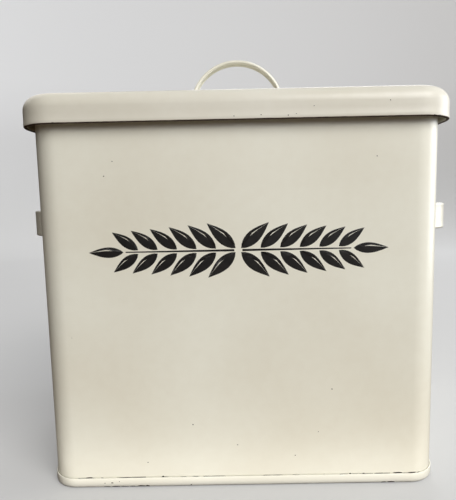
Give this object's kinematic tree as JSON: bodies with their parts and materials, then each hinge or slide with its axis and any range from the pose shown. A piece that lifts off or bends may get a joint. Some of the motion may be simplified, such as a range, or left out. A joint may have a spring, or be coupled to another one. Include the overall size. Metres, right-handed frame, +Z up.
{
  "type": "bread bin",
  "caption": "Rectangular enamelled sheet-steel bread bin with rounded corners, an overhanging lift-off lid, a bow handle on the lid and a carrying handle at each side.",
  "frame": {"origin": "on the surface the bin stands on, under the middle of the bin", "axes": "+Z up, +X to the right of the front wall, -Y out of the front wall"},
  "size_m": [0.4082, 0.236, 0.3692],
  "materials": {
    "body_enamel": "glossy cream vitreous enamel on steel",
    "base_enamel": "glossy cream vitreous enamel on steel, chipped along the foot",
    "lid_enamel": "glossy cream vitreous enamel on steel",
    "handle_enamel": "glossy cream vitreous enamel on steel strap",
    "rivet_enamel": "cream vitreous enamel over steel rivets",
    "rim_steel": "drawn steel wire",
    "motif_enamel": "fired black enamel decoration"
  },
  "bodies": {
    "bin": {"body_wall": "body_enamel", "rim_wire": "rim_steel", "base_pan": "base_enamel", "left_handle": "handle_enamel", "right_handle": "handle_enamel", "left_handle_rivets": "rivet_enamel", "right_handle_rivets": "rivet_enamel"},
    "lid": {"lid_pan": "lid_enamel", "lid_handle": "handle_enamel", "lid_handle_rivets": "rivet_enamel"}
  },
  "joints": [
    {"name": "lid_lift", "type": "slide", "parent": "bin", "child": "lid", "axis": [0, 0, 1], "range_m": [0, 0.1]}
  ]
}
